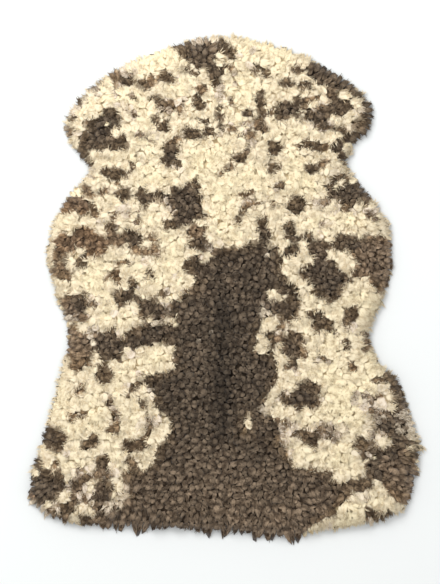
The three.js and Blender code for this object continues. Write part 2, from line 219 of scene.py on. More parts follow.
RUMP_PATCHES = [
    (-216, 282, 16, 14, DARK), (-226, 300, 14, 10, DARK), (104, -252, 18, 9, GRIZZLED),
    (-96, -60, 9, 7, CREAM), (58, 84, 24, 10, DARK, 12), (74, 100, 10, 12, DARK),
    (88, -4, 10, 7, CREAM, -10), (106, -12, 12, 7, CREAM, -5), (85, -32, 17, 17, FROSTED),
    (88, 74, 9, 12, FROSTED), (89, -65, 15, 14, CREAM), (107, -68, 6, 8, GRIZZLED),
    (97, -88, 7, 8, BROWN), (71, -100, 11, 19, CREAM, 8), (94, -112, 9, 3, CREAM, -40),
    (128, -104, 21, 26, DARK), (128, -132, 10, 13, DARK), (136, -150, 8, 4, GRIZZLED),
    (152, -118, 6, 8, BROWN), (110, -203, 8, 10, GRIZZLED), (105, -243, 9, 3, BROWN, -15),
    (47, -249, 5, 16, CREAM, -8), (75, -222, 8, 12, FROSTED), (158, -190, 23, 18, DARK),
    (142, -208, 22, 15, DARK), (168, -211, 16, 12, DARK), (158, -276, 23, 12, DARK, -32),
    (196, -266, 30, 13, GRIZZLED), (132, -262, 11, 8, GRIZZLED, -20), (108, -285, 12, 20, PALE),
    (313, -168, 12, 9, DARK, -30), (291, -170, 10, 5, GRIZZLED, -20), (291, -199, 7, 4, BROWN),
    (326, -194, 12, 26, DARK, 22), (335, -228, 16, 13, GRIZZLED, 20),
    (348, -255, 11, 26, GRIZZLED, 14), (276, -238, 6, 9, GRIZZLED), (242, -208, 8, 4, PALE, -20),
    (268, -205, 22, 9, PALE, -20), (304, -240, 32, 17, GRIZZLED, -18),
    (312, -275, 46, 28, GRIZZLED), (302, -262, 20, 11, DARK, -15), (340, -288, 19, 14, DARK),
    (258, -287, 16, 12, DARK, 10), (305, -306, 24, 14, DARK), (266, -306, 14, 10, GRIZZLED),
    (331, -350, 35, 54, BROWN, 8), (282, -338, 20, 20, DARK), (262, -368, 27, 10, DARK, -5),
    (362, -306, 7, 13, DARK), (285, -422, 28, 10, DARK), (266, -388, 8, 10, GRIZZLED),
    (290, -283, 11, 8, CREAM, -15), (333, -262, 14, 8, FROSTED, -40), (312, -284, 8, 8, CREAM),
    (350, -297, 5, 11, CREAM), (274, -281, 7, 9, FROSTED), (290, -376, 8, 14, CREAM, 20),
    (300, -397, 25, 13, CREAM, -20), (330, -408, 20, 9, CREAM, -25), (235, -419, 27, 20, CREAM),
    (248, -393, 9, 14, CREAM), (187, -443, 10, 7, CREAM), (-320, -281, 23, 25, DARK),
    (-276, -238, 11, 7, BROWN, 10), (-269, -241, 5, 3, CREAM), (-255, -287, 18, 12, DARK, 42),
    (-353, -327, 12, 12, DARK), (-316, -328, 8, 7, BROWN), (-333, -368, 34, 26, DARK, 20),
    (-358, -382, 15, 13, RUST), (-227, -320, 14, 10, DARK), (-243, -345, 11, 10, BROWN),
    (-224, -345, 17, 14, GRIZZLED), (-226, -380, 17, 20, DARK), (-262, -342, 18, 14, PALE),
    (-272, -378, 32, 29, GRIZZLED), (-293, -410, 16, 15, DARK), (-262, -430, 22, 11, DARK),
    (-312, -418, 27, 17, GRIZZLED, -20), (-345, -404, 20, 8, GRIZZLED, -30),
    (-222, -406, 24, 13, GRIZZLED), (-208, -232, 8, 31, GRIZZLED, 8),
    (-212, -260, 12, 7, BROWN, 20), (-153, -212, 8, 14, DARK, 12), (-166, -293, 27, 14, DARK, 8),
    (-146, -268, 12, 16, GRIZZLED), (-138, -243, 12, 12, GRIZZLED), (-176, -330, 13, 16, DARK),
    (-132, -190, 12, 12, FROSTED), (-118, -267, 11, 10, CREAM), (-137, -217, 8, 17, CREAM, 12),
    (-152, -190, 11, 10, CREAM), (-118, -134, 24, 12, CREAM), (-118, -152, 9, 6, CREAM, -20),
    (-198, -330, 9, 10, CREAM), (-197, -366, 4, 9, CREAM, -8), (-200, -399, 7, 12, FROSTED, 5),
    (-186, -380, 8, 12, FROSTED), (-150, -322, 16, 13, CREAM), (-298, -388, 10, 12, CREAM, -20),
    (-252, -372, 6, 14, CREAM, -10), (-268, -408, 14, 6, CREAM, 10),
    (-330, -404, 12, 7, CREAM, -20),
]
PATCHES = [Patch(*row) for row in NECK_PATCHES + SIDE_PATCHES + RUMP_PATCHES]


def linear(red, green, blue):
    """A colour given as 0 to 255 on a screen, as the linear numbers that materials use."""
    shares = [value / 255 for value in (red, green, blue)]
    return tuple(s / 12.92 if s <= 0.04045 else ((s + 0.055) / 1.055) ** 2.4 for s in shares)


class RugPelt(bpy.types.PropertyGroup):
    skin_thickness: FloatProperty(
        name="Skin thickness", description="Tanned skin under the wool",
        default=0.0018, unit="LENGTH")
    skin_inset: FloatProperty(
        name="Skin inset", description="How far the wool hangs over the skin's edge",
        default=0.010, unit="LENGTH")
    neck_depth: FloatProperty(
        name="Neck depth", description="Skin and wool together at the neck",
        default=0.024, unit="LENGTH")
    rump_depth: FloatProperty(
        name="Rump depth", description="Skin and wool together over the rump",
        default=0.031, unit="LENGTH")
    edge_roll: FloatProperty(
        name="Edge roll", description="Width over which the wool rolls down to the floor",
        default=0.034, unit="LENGTH")
    clump_pitch: FloatProperty(
        name="Clump pitch", description="Distance between clumps of curls",
        default=0.036, unit="LENGTH")
    clump_rise: FloatProperty(
        name="Clump rise", description="A clump's top above the creases round it",
        default=0.005, unit="LENGTH")
    cream_tuft_pitch: FloatProperty(
        name="Cream tuft pitch", description="Distance between tufts of cream wool",
        default=0.021, unit="LENGTH")
    brown_tuft_pitch: FloatProperty(
        name="Brown tuft pitch", description="Distance between tufts of brown wool",
        default=0.014, unit="LENGTH")
    tuft_rise: FloatProperty(
        name="Tuft rise", description="A tuft's top above the creases round it",
        default=0.0026, unit="LENGTH")


class RugCurls(bpy.types.PropertyGroup):
    curl_height: FloatProperty(
        name="Curl height", description="From the under-wool to a usual curl's top",
        default=0.009, unit="LENGTH")
    brown_pitch: FloatProperty(
        name="Brown pitch", description="Usual distance between brown curls",
        default=0.0090, unit="LENGTH")
    cream_pitch: FloatProperty(
        name="Cream pitch", description="Usual distance between cream curls",
        default=0.0105, unit="LENGTH")
    brown_crease: FloatProperty(
        name="Brown crease", description="Depth of the creases between brown curls",
        default=0.0030, unit="LENGTH")
    cream_crease: FloatProperty(
        name="Cream crease", description="Depth of the creases between cream curls",
        default=0.0007, unit="LENGTH")
    brown_soften: FloatProperty(
        name="Brown softness", description="How far brown curls are lit as one fleece",
        default=0.5, subtype="FACTOR")
    cream_soften: FloatProperty(
        name="Cream softness", description="How far cream curls are lit as one fleece",
        default=0.97, subtype="FACTOR")
    overlap: FloatProperty(
        name="Overlap", description="How far a leaning curl lies over the next, in pitches",
        default=0.8)
    brown_wisps: FloatProperty(
        name="Brown wisps", description="Wisps of fibre to a square metre of brown curls",
        default=45000)
    cream_wisps: FloatProperty(
        name="Cream wisps", description="Wisps of fibre to a square metre of cream curls",
        default=71500)
    seed: IntProperty(name="Seed", description="Another number, another growth", default=7)


class RugColours(bpy.types.PropertyGroup):
    cream: FloatVectorProperty(
        name="Cream", description="Undyed cream wool", subtype="COLOR",
        default=linear(247, 232, 194))
    # Cream wool deep in the pile; this colour also paints the shade in the creases between curls and
    # tufts.
    cream_root_shade: FloatVectorProperty(
        name="Cream root", description="Cream wool deep in the pile", subtype="COLOR",
        default=linear(210, 185, 143))
    frost: FloatVectorProperty(
        name="Frost", description="Whiter wool among and beside the brown", subtype="COLOR",
        default=linear(236, 221, 201))
    dark: FloatVectorProperty(
        name="Dark brown", description="Wool of the saddle and the dark patches",
        subtype="COLOR", default=linear(105, 91, 75))
    brown: FloatVectorProperty(
        name="Faded brown", description="Sun-faded wool at the sides", subtype="COLOR",
        default=linear(135, 116, 95))
    rust: FloatVectorProperty(
        name="Rust brown", description="Reddish wool at the left ribs", subtype="COLOR",
        default=linear(132, 110, 88))
    skin: FloatVectorProperty(
        name="Skin", description="Sueded skin side", subtype="COLOR",
        default=linear(205, 184, 150))


class RugStudio(bpy.types.PropertyGroup):
    camera_height: FloatProperty(
        name="Camera height", description="Camera above the floor", default=5.0, unit="LENGTH")
    key_power: FloatProperty(
        name="Key light", description="Soft light from the upper left", default=64.0,
        unit="POWER")
    sky_strength: FloatProperty(
        name="Sky", description="Even white light from all round", default=0.79)


def edge_line(spacing):
    """Points about spacing apart on the closed curve through the edge marks, and the outward
    direction at each, in millimetres."""
    marks = np.array(EDGE_MARKS, float)
    shares = np.linspace(0, 1, 24, endpoint=False)[:, None]
    fine = []
    for index in range(len(marks)):
        before, start, end, after = (marks[(index + k) % len(marks)] for k in (-1, 0, 1, 2))
        gaps = [math.sqrt(np.linalg.norm(b - a)) for a, b in
                ((before, start), (start, end), (end, after))]
        leave = ((start - before) / gaps[0] - (end - before) / (gaps[0] + gaps[1])
                 + (end - start) / gaps[1]) * gaps[1]
        arrive = ((end - start) / gaps[1] - (after - start) / (gaps[1] + gaps[2])
                  + (after - end) / gaps[2]) * gaps[1]
        square = -3 * start + 3 * end - 2 * leave - arrive
        cube = 2 * start - 2 * end + leave + arrive
        fine.append(start + shares * leave + shares**2 * square + shares**3 * cube)
    fine = np.concatenate(fine)
    closed = np.vstack([fine, fine[:1]])
    length = np.concatenate([[0], np.cumsum(np.hypot(*np.diff(closed, axis=0).T))])
    at = np.linspace(0, length[-1], round(length[-1] / spacing), endpoint=False)
    line = np.stack([np.interp(at, length, closed[:, k]) for k in (0, 1)], axis=1)
    along = np.roll(line, -1, axis=0) - np.roll(line, 1, axis=0)
    along /= np.linalg.norm(along, axis=1)[:, None]
    return line, np.stack([along[:, 1], -along[:, 0]], axis=1)


def edge_distance(points, line):
    """How far each point is inside the closed line, negative outside it, and the direction to
    the line's nearest place."""
    best = np.full(len(points), np.inf)
    towards = np.zeros_like(points)
    inside = np.zeros(len(points), bool)
    for start, end in zip(line, np.roll(line, -1, axis=0)):
        side = end - start
        offset = points - start
        share = np.clip(offset @ side / (side @ side), 0, 1)
        gap = share[:, None] * side - offset
        size = np.hypot(gap[:, 0], gap[:, 1])
        nearer = size < best
        best = np.where(nearer, size, best)
        towards = np.where(nearer[:, None], gap, towards)
        crosses = (start[1] > points[:, 1]) != (end[1] > points[:, 1])
        rise = side[1] if side[1] else 1e-9
        inside ^= crosses & (offset[:, 0] < offset[:, 1] * side[0] / rise)
    towards /= np.maximum(best, 1e-6)[:, None]
    return np.where(inside, best, -best), towards


def hashed(cells, seed):
    """Numbers from 0 to 1 that look random and are the same each time for the same cells."""
    wave = np.sin(cells[..., 0] * 127.1 + cells[..., 1] * 311.7 + seed * 74.7) * 43758.5453
    return wave - np.floor(wave)


def smooth_noise(points, length, seed):
    """Soft noise from -1 to 1 whose lumps are about length across."""
    grid = points / length
    cell = np.floor(grid)
    part = grid - cell
    part = part * part * (3 - 2 * part)
    value = np.zeros(len(points))
    for dx in (0, 1):
        for dy in (0, 1):
            weight_x = part[:, 0] if dx else 1 - part[:, 0]
            weight_y = part[:, 1] if dy else 1 - part[:, 1]
            value += weight_x * weight_y * hashed(cell + (dx, dy), seed)
    return 2 * value - 1


def noise_vector(points, length, seed):
    """Two of those noises side by side, as a direction to wander in."""
    return np.stack([smooth_noise(points, length, seed + k) for k in (0, 1)], axis=1)


def clump_field(points, pitch, seed):
    """How far each point is from the crease round its clump, the clump's own number, and the way
    from the clump's middle, 1 long about half way to the crease."""
    grid = points / pitch
    cell = np.floor(grid)
    first = np.full(len(points), np.inf)
    second = np.full(len(points), np.inf)
    own = np.zeros(len(points))
    away = np.zeros_like(points)
    for dx in (-1, 0, 1):
        for dy in (-1, 0, 1):
            near = cell + (dx, dy)
            stray = np.stack([hashed(near, seed), hashed(near, seed + 1)], axis=1) - 0.5
            offset = grid - near - 0.5 - 0.85 * stray
            gap = np.linalg.norm(offset, axis=1)
            nearer = gap < first
            away = np.where(nearer[:, None], 3 * offset, away)
            second = np.where(nearer, first, np.minimum(second, gap))
            own = np.where(nearer, hashed(near, seed + 2), own)
            first = np.where(nearer, gap, first)
    return (second - first) * pitch / 2, own, away


def soft_step(value, low, high):
    """From 0 at low to 1 at high, smoothly."""
    share = np.clip((value - low) / (high - low), 0, 1)
    return share * share * (3 - 2 * share)


def coat_at(points):
    """How dark the wool is at points in millimetres, how much curls differ there, and its hue."""
    ragged = 3 * smooth_noise(points, 24, 1) + 4.5 * smooth_noise(points, 10, 2)
    across, along = points.T
    rows, left, right = np.array(SADDLE_ROWS, float)[::-1].T
    left, right = np.interp(along, rows, left), np.interp(along, rows, right)
    saddle = np.minimum(np.minimum(across - left, right - across), rows[-1] - along)
    darkness = soft_step(saddle + ragged + 2, -4, 4)
    grizzle = 0.12 * darkness
    hue = 0.25 * soft_step(-along, 250, 420)
    for patch in PATCHES:
        coat = patch.coat
        least = min(patch.half_across, patch.half_along)
        feather = min(4, 0.5 * least)
        rough = min(0.9, least / 14)
        span = max(patch.half_across, patch.half_along) * (1 + (feather + 3 + 7 * rough) / least)
        dx, dy = across - patch.across, along - patch.along
        near = np.flatnonzero(np.maximum(np.abs(dx), np.abs(dy)) < span)
        dx, dy = dx[near], dy[near]
        turn = math.radians(patch.turn)
        u = (dx * math.cos(turn) + dy * math.sin(turn)) / patch.half_across
        v = (dy * math.cos(turn) - dx * math.sin(turn)) / patch.half_along
        field = (1 - np.hypot(u, v)) * least + (0 if coat == CREAM else 1.6)
        share = soft_step(field + ragged[near] * rough, -feather, feather)
        if coat in (CREAM, FROSTED):
            darkness[near] += share * (coat.darkness - darkness[near])
            grizzle[near] += share * (coat.grizzle - grizzle[near])
            continue
        stronger = share * coat.darkness > darkness[near]
        changed, share = near[stronger], share[stronger]
        darkness[changed] = share * coat.darkness
        grizzle[changed] = coat.grizzle * share
        hue[changed] = coat.hue
    speck = smooth_noise(points, 8, 71) + 0.45 * smooth_noise(points, 45, 72)
    speck = 0.5 * soft_step(speck, 0.72, 1.0)
    hue = np.where(speck > darkness, 0.6, hue)
    return np.maximum(darkness, speck), np.maximum(grizzle, 1.6 * speck), hue


def coat_colour(points, hue, colours):
    """The colour of the dark wool at points in millimetres: darker along the backbone, lighter
    over the rump."""
    dark, brown, rust = (np.array(c) for c in (colours.dark, colours.brown, colours.rust))
    share = hue[:, None]
    colour = np.where(share < 0.6, dark + (brown - dark) * share / 0.6,
                      brown + (rust - brown) * (share - 0.6) / 0.4)
    across, along = points.T
    spine = np.exp(-((across / 20) ** 2)) * soft_step(along, -330, -220) * soft_step(-along, -40, 60)
    rump = soft_step(-along, 300, 420)
    light = 1 - 0.48 * spine + 0.1 * rump + 0.12 * smooth_noise(points, 60, 5)
    light += 0.1 * smooth_noise(points, 18, 15)
    return colour * light[:, None]


def tuft_field(points, brown):
    """The tufts that the wool falls into, smaller in the brown wool and broader at the rump."""
    pelt = bpy.context.scene.rug_pelt
    pitch = (pelt.brown_tuft_pitch if brown else pelt.cream_tuft_pitch) / MM
    spots = points + 5 * noise_vector(points, 16, 41)
    if brown:
        spots[:, 0] *= 1 - 0.45 * soft_step(-points[:, 1], 150, 330)
    return clump_field(spots, pitch, 31)


def wool_top(points, inside, brown=False):
    """Height of the wool in millimetres at points that lie that far inside its edge."""
    pelt = bpy.context.scene.rug_pelt
    towards_rump = np.clip((450 - points[:, 1]) / 900, 0, 1)
    neck, rump = pelt.neck_depth / MM, pelt.rump_depth / MM
    depth = neck + (rump - neck) * towards_rump
    crease, own, _ = clump_field(points, pelt.clump_pitch / MM, 11)
    calm = 1 if brown else 0.55
    clump = pelt.clump_rise / MM * (soft_step(crease, 0, 11) - 0.6) + 3 * (own - 0.5)
    fold, rank, _ = tuft_field(points, brown)
    clump += pelt.tuft_rise / MM * (soft_step(fold, 0, 4.5) - 0.8) + 1.6 * (rank - 0.5)
    clump *= calm
    swell = 2.2 * smooth_noise(points, 75, 6)
    parting = 4 * np.exp(-((points[:, 0] / 15) ** 2)) * soft_step(towards_rump, 0.35, 0.6)
    roll = np.clip(inside / (pelt.edge_roll / MM), 0, 1)
    rim = 6.5 + 0.22 * np.clip(inside, -18, 0)
    return rim + (depth + clump + swell - parting - rim) * np.sqrt(1 - (1 - roll) ** 2)


def wool_facing(points, inside, towards, brown):
    """Which way the wool as a whole faces at points, curls left out."""
    step = 4.0
    here = wool_top(points, inside, brown)
    slope = [wool_top(points + step * np.eye(2)[k], inside - step * towards[:, k], brown) - here
             for k in (0, 1)]
    facing = np.column_stack([-slope[0] / step, -slope[1] / step, np.ones(len(points))])
    return facing / np.linalg.norm(facing, axis=1)[:, None]


def net_inside(ring, inner=()):
    """A triangle net over the ring's inside through the inner points: points and triangles."""
    count = len(ring)
    edges = [(i, (i + 1) % count) for i in range(count)]
    net = delaunay_2d_cdt([Vector(p) for p in (*ring, *inner)], edges, [], 1, 1e-5)
    return np.array([tuple(p) for p in net[0]]), np.array(net[2])


def closed_slab(name, ring, inner, top, bottom):
    """A closed mesh over the ring: a top net through the inner points at the heights that top
    gives, a flat bottom and a wall round them. Also its places in millimetres."""
    points, upper = net_inside(ring, inner)
    lower = net_inside(ring)[1]
    count, rim = len(points), len(ring)
    places = np.vstack([np.column_stack([points, top(points)]),
                        np.column_stack([points[:rim], np.full(rim, bottom)])])
    faces = [*upper.tolist(), *(count + lower[:, ::-1]).tolist()]
    faces += [(a, count + a, count + (a + 1) % rim, (a + 1) % rim) for a in range(rim)]
    mesh = bpy.data.meshes.new(name)
    mesh.from_pydata((places * MM).tolist(), [], faces)
    return mesh, places


# What the wool is like where each curl grows.
Growth = namedtuple(
    "Growth", "points inside towards size darkness grizzle hue lean over fringe reach angle")


@lru_cache(maxsize=None)
def growth():
    """Where every curl grows, in millimetres, with what its wool is like there."""
    curls = bpy.context.scene.rug_curls
    chance = np.random.default_rng(curls.seed)
    line, outward = edge_line(6.0)
    low, high = line.min(0), line.max(0)
    tries = np.vstack([line - 6 * outward, chance.uniform(low, high, (TRIES, 2))])
    inside, towards = edge_distance(tries, edge_line(12)[0])
    tries, towards, inside = tries[inside > 5], towards[inside > 5], inside[inside > 5]
    darkness, grizzle, hue = coat_at(tries + chance.normal(0, 2.5, tries.shape))
    lean, over = lean_of(tries, inside, towards, darkness < BROWN_FROM, chance)
    size = np.where(darkness > BROWN_FROM, curls.brown_pitch, curls.cream_pitch) / MM
    size = size * chance.uniform(0.72, 1.4, len(tries))
    form = oval_form(size, lean, chance)
    kept, cells, span = [], {}, 2 / math.sqrt(form[:, [0, 2]].min())
    for index, ((x, y), (a, b, c)) in enumerate(zip(tries.tolist(), form.tolist())):
        column, row = int(x // span), int(y // span)
        free = True
        for near in (cells.get((column + dx, row + dy), ()) for dx in (-1, 0, 1)
                     for dy in (-1, 0, 1)):
            for ox, oy, oa, ob, oc in near:
                dx, dy = x - ox, y - oy
                mine = a * dx * dx + b * dx * dy + c * dy * dy
                other = oa * dx * dx + ob * dx * dy + oc * dy * dy
                if mine < 1 or other < 1 or mine**-0.5 + other**-0.5 > 1:
                    free = False
                    break
            if not free:
                break
        if free:
            cells.setdefault((column, row), []).append((x, y, a, b, c))
            kept.append(index)
    kept = np.array(kept)
    angle = chance.uniform(0, 0.8, len(kept))[:, None]
    angle = angle + np.arange(SIDES) * 2 * math.pi / SIDES
    reach, near = cell_reach(tries[kept], form[kept], angle)
    cream = darkness[kept] < BROWN_FROM
    fringe = np.clip(2 * (cream[near] != cream[:, None]).mean(axis=1), 0, 1)
    return Growth(tries[kept], inside[kept], towards[kept], size[kept], darkness[kept],
                  grizzle[kept], hue[kept], lean[kept], over[kept], fringe, reach, angle)


def lean_of(points, inside, towards, cream, chance):
    """Which way and how strongly the curls at points lean, and how far past the edge those at the
    rim reach."""
    rim = soft_step(-inside, -50, -6)
    rump = soft_step(-points[:, 1], 250, 390)
    neck = soft_step(points[:, 1], 250, 380)
    sideways = points[:, 0] / 330
    wander = noise_vector(points, 26, 8) + chance.uniform(-0.6, 0.6, points.shape)
    way = 1.6 * rim[:, None] * towards + wander * (1 - 0.6 * rim)[:, None]
    way += np.stack([0.6 * points[:, 0] / 330, -0.35 - 0.7 * rump], axis=1)
    spread = np.where(cream[:, None], 1.2 * tuft_field(points, False)[2],
                      0.5 * tuft_field(points, True)[2])
    way += spread * (1 - 0.8 * rim)[:, None]
    over = 0.8 + (1.5 + 2.5 * rump) * smooth_noise(points, 15, 51)
    over += chance.normal(0, 0.6, len(points))
    for across, along, reach, width in EDGE_TUFTS:
        gap = np.array([across, along]) - points
        far = np.hypot(*gap.T)
        near_tuft = (far < width * 0.62) & (inside < 15)
        share = 1 - (far / width) ** 2
        over = np.where(near_tuft, reach * share * chance.uniform(0.8, 1.1, len(gap)), over)
        way += near_tuft[:, None] * gap * 0.09
    way /= np.linalg.norm(way, axis=1)[:, None]
    strength = 0.15 + 0.7 * rim + 0.55 * rump + 0.25 * neck + 0.2 * np.abs(sideways) + 0.35 * cream
    return way * np.clip(strength, 0, 1)[:, None], over


def oval_form(size, lean, chance):
    """The oval that each curl claims, longer the way it leans: a, b and c of a x² + b x y + c y²,
    which is 1 on it."""
    strength = np.linalg.norm(lean, axis=1)
    turn = np.arctan2(lean[:, 1], lean[:, 0])
    turn += np.clip(1.3 - 1.3 * strength, 0.15, 1) * chance.uniform(-1.6, 1.6, len(size))
    aspect = chance.uniform(1.0, 2.4, len(size))
    long, short = size / 2 * np.sqrt(aspect), size / 2 / np.sqrt(aspect)
    cos, sin = np.cos(turn), np.sin(turn)
    return np.column_stack([(cos / long) ** 2 + (sin / short) ** 2,
                            2 * cos * sin * (1 / long**2 - 1 / short**2),
                            (sin / long) ** 2 + (cos / short) ** 2])


def cell_reach(points, form, angle):
    """How far each curl can spread in each direction before it meets its neighbours, and which
    curls those are."""
    tree = KDTree(len(points))
    for index, (x, y) in enumerate(points.tolist()):
        tree.insert((x, y, 0), index)
    tree.balance()
    near = np.array([[found[1] for found in tree.find_n((x, y, 0), 15)[1:]]
                     for x, y in points.tolist()])
    offset = points[near] - points[:, None]
    size = np.linalg.norm(offset, axis=2)
    terms = np.stack([offset[..., 0] ** 2, offset[..., 0] * offset[..., 1], offset[..., 1] ** 2],
                     axis=2)
    mine = 1 / np.sqrt((terms * form[:, None]).sum(2))
    other = 1 / np.sqrt((terms * form[near]).sum(2))
    ways = np.stack([np.cos(angle), np.sin(angle)], axis=2)
    facing = np.einsum("nkc,nsc->nks", offset / size[:, :, None], ways)
    meet = (size * mine / (mine + other))[:, :, None] / np.maximum(facing, 0.05)
    terms = np.stack([ways[..., 0] ** 2, ways[..., 0] * ways[..., 1], ways[..., 1] ** 2], axis=2)
    most = 1.7 / np.sqrt((terms * form[:, None]).sum(2))
    reach = np.minimum(meet.min(axis=1), most)
    return 0.88 * reach + 0.06 * np.roll(reach, 1, axis=1) + 0.06 * np.roll(reach, -1, axis=1), near


# A curl's rings of points, outermost first: shares of its width, of the crease's depth and of its
# winding, and how far up the pile its colour counts, low values painted with the shade deep in the
# pile.
Ring = namedtuple("Ring", "width drop wind rise")
BROWN_RINGS = [Ring(1.0, 1.0, 0, 0.1), Ring(0.88, 0.26, 0.2, 0.84), Ring(0.66, 0.04, 0.8, 0.97),
               Ring(0.34, 0.0, 1.0, 1.0)]
CREAM_RINGS = [Ring(1.0, 1.0, 0, 0.25), Ring(0.84, 0.34, 0.3, 0.85), Ring(0.45, 0.04, 0.8, 1.0)]


def curl_faces(count, sides, rings):
    """The faces of so many curls, each a foot point, rings of points and a top point."""
    each, final = sides * rings + 2, 1 + sides * (rings - 1)
    faces = []
    for k in range(sides):
        after = (k + 1) % sides
        faces += [(0, 1 + after, 1 + k), (final + k, final + after, each - 1)]
        for base in range(1, final, sides):
            faces += [(base + k, base + after, base + sides + after),
                      (base + k, base + sides + after, base + sides + k)]
    return (np.array(faces)[None] + each * np.arange(count)[:, None, None]).reshape(-1, 3)


def curls_mesh(name, grown, chosen, brown):
    """The chosen curls as one mesh of closed locks that meet in creases, and where they lean lie
    over the next ones like leaves."""
    curls = bpy.context.scene.rug_curls
    rings = [Ring(0.6, 0, 0, 0.1), *(BROWN_RINGS if brown else CREAM_RINGS)]
    crease = (curls.brown_crease if brown else curls.cream_crease) / MM
    soften = curls.brown_soften if brown else curls.cream_soften
    uneven = 1.0 if brown else 0.28
    grown = Growth(*(values[chosen] for values in grown))
    points, size, angle, lean = grown.points, grown.size, grown.angle, grown.lean
    inside, outwards, over = grown.inside, grown.towards, grown.over
    reach = grown.reach * 1.03
    count, sides = reach.shape
    chance = np.random.default_rng(curls.seed + len(points))
    own = chance.random(count)
    strength = np.maximum(np.linalg.norm(lean, axis=1), 1e-6)
    ahead = lean / strength[:, None]
    aside = np.stack([-ahead[:, 1], ahead[:, 0]], axis=1)
    to_edge = inside + over - 0.5 * size
    longer = curls.overlap * strength * size * chance.uniform(0.6, 1.3, count)
    at_rim = inside < 0.8 * size + 3
    longer = np.where(at_rim, to_edge, np.minimum(longer, to_edge))
    pinch = np.where(at_rim, 0.08 + 0.01 * np.clip(over, 0, 20), 0.45 * strength)
    jitter = chance.uniform(0.88, 1.12, (count, sides))
    tilt = chance.uniform(-0.22, 0.22, (count, 2)) * min(uneven, 1)
    raised = uneven * chance.normal(0, 1, count) - 0.8 * strength
    start = chance.uniform(0, 2 * math.pi, count)
    upright = np.clip(1.4 - 1.6 * strength, 0, 1)
    wound = (chance.random(count) < 0.5) * chance.choice([-1, 1], count) * 0.7 * upright
    dimple = (chance.random(count) < 0.3) * chance.uniform(0.8, 2.0, count) * upright

    def level(offset):
        spots = (points[:, None] + offset).reshape(-1, 2)
        far = inside[:, None] - (offset * outwards[:, None]).sum(2)
        return wool_top(spots, far.ravel(), brown).reshape(offset.shape[:2])

    ways = np.stack([np.cos(angle), np.sin(angle)], axis=2)
    spot = (angle - start[:, None]) % (2 * math.pi) / math.pi - 1
    foot = np.maximum(level(np.zeros((count, 1, 2))) - curls.curl_height / MM, 0.8)
    rows = [np.concatenate([points[:, None], foot[:, :, None]], axis=2)]
    rises = [np.zeros((count, 1))]
    strands = [np.zeros((count, 1, 3))]
    tip = 0.5 + 0.5 * (ways * ahead[:, None]).sum(2)
    for index, ring in enumerate(rings):
        spread = reach * ring.width * jitter
        forward = spread * (ways * ahead[:, None]).sum(2)
        sideways = spread * (ways * aside[:, None]).sum(2)
        front = np.clip(forward / size[:, None], 0, 1)
        if index:
            forward = forward + longer[:, None] * front
            sideways = sideways * (1 - pinch[:, None] * front)
        offset = forward[:, :, None] * ahead[:, None] + sideways[:, :, None] * aside[:, None]
        up = level(offset) + raised[:, None] - ring.drop * (0.45 + 0.65 * tip) * crease
        up = up + (offset * tilt[:, None]).sum(2)
        up = up + ring.wind * (wound[:, None] * spot + 0.35 * np.cos(2 * angle + start[:, None]))
        up = up + 0.3 * strength[:, None] * forward - 0.016 * strength[:, None] * forward**2
        up = np.maximum(up if index else foot + 0.5 + 0 * up, 1.0 + 0.4 * index)
        rows.append(np.concatenate([points[:, None] + offset, up[:, :, None]], axis=2))
        # At the back of a leaning curl the rise is lifted towards 0.9, so the painted crease shade
        # stays at its front, under the tip that overhangs the next curl.
        rises.append(ring.rise + (0.9 - ring.rise) * 0.75 * (1 - tip) * (index > 0))
        across = sideways + upright[:, None] * (1.4 * spread - sideways)
        strands.append(np.stack([across, forward * (1 - 0.5 * upright[:, None]), up], axis=2))
    shift = ((0.25 * longer)[:, None] * ahead)[:, None]
    top = np.maximum(level(shift) + (raised - dimple)[:, None], 3.0)
    rows.append(np.concatenate([points[:, None] + shift, top[:, :, None]], axis=2))
    rises.append(np.full((count, 1), 0.95))
    strands.append(np.zeros((count, 1, 3)))

    places = np.concatenate(rows, axis=1)
    each = places.shape[1]
    mesh = bpy.data.meshes.new(name)
    faces = curl_faces(count, sides, len(rings))
    mesh.from_pydata((places.reshape(-1, 3) * MM).tolist(), [], faces.tolist())

    flat = places[:, :, :2].reshape(-1, 2)
    rise = np.concatenate(rises, axis=1).ravel()
    # In cream wool the painted shade of the creases is kept only where this mask is high: over the
    # neck, in a strip beside the backbone towards the neck, and in patches of noise. Elsewhere the
    # rise is lifted to 0.92.
    if not brown:
        shaded_crease_zones = smooth_noise(flat, 26, 61) + 0.4 * soft_step(flat[:, 1], 240, 340) - 0.4
        shaded_crease_zones += 1.0 * np.exp(-(((flat[:, 0] + 20) / 40) ** 2)) * soft_step(flat[:, 1], 60, 120)
        rise += (0.92 - rise) * (rise < 0.92) * soft_step(-shaded_crease_zones, -0.3, 0.1)
    moved = flat + np.repeat(chance.normal(0, 2.5, (count, 2)), each, axis=0)
    mixed = 0.4 * grown.darkness + 0.8 * grown.grizzle * (chance.random(count) - 0.5)
    colour = coat_colour(points, grown.hue, bpy.context.scene.rug_colours)
    colour = colour * (1 + grown.fringe[:, None] * (0.3, 0.22, 0.04))
    # Curls at the rim are painted lighter the further they reach past the edge: painted light
    # against the shade on their downward side, as light comes through thin locks.
    colour = colour * (1 + 0.03 * np.where(at_rim, np.clip(over, 0, 15), 0))[:, None]
    fluff = (0.75 + 0.25 * soft_step(inside, 8, 26)) * (0.75 if brown else 1)
    fold, _, away = tuft_field(flat, brown)
    flow = 0.7 * np.repeat(lean, each, axis=0) + 0.6 * away
    outwards = np.repeat(outwards, each, axis=0)
    far = np.repeat(inside, each) - ((flat - np.repeat(points, each, axis=0)) * outwards).sum(1)
    facing = wool_facing(flat, far, outwards, brown)
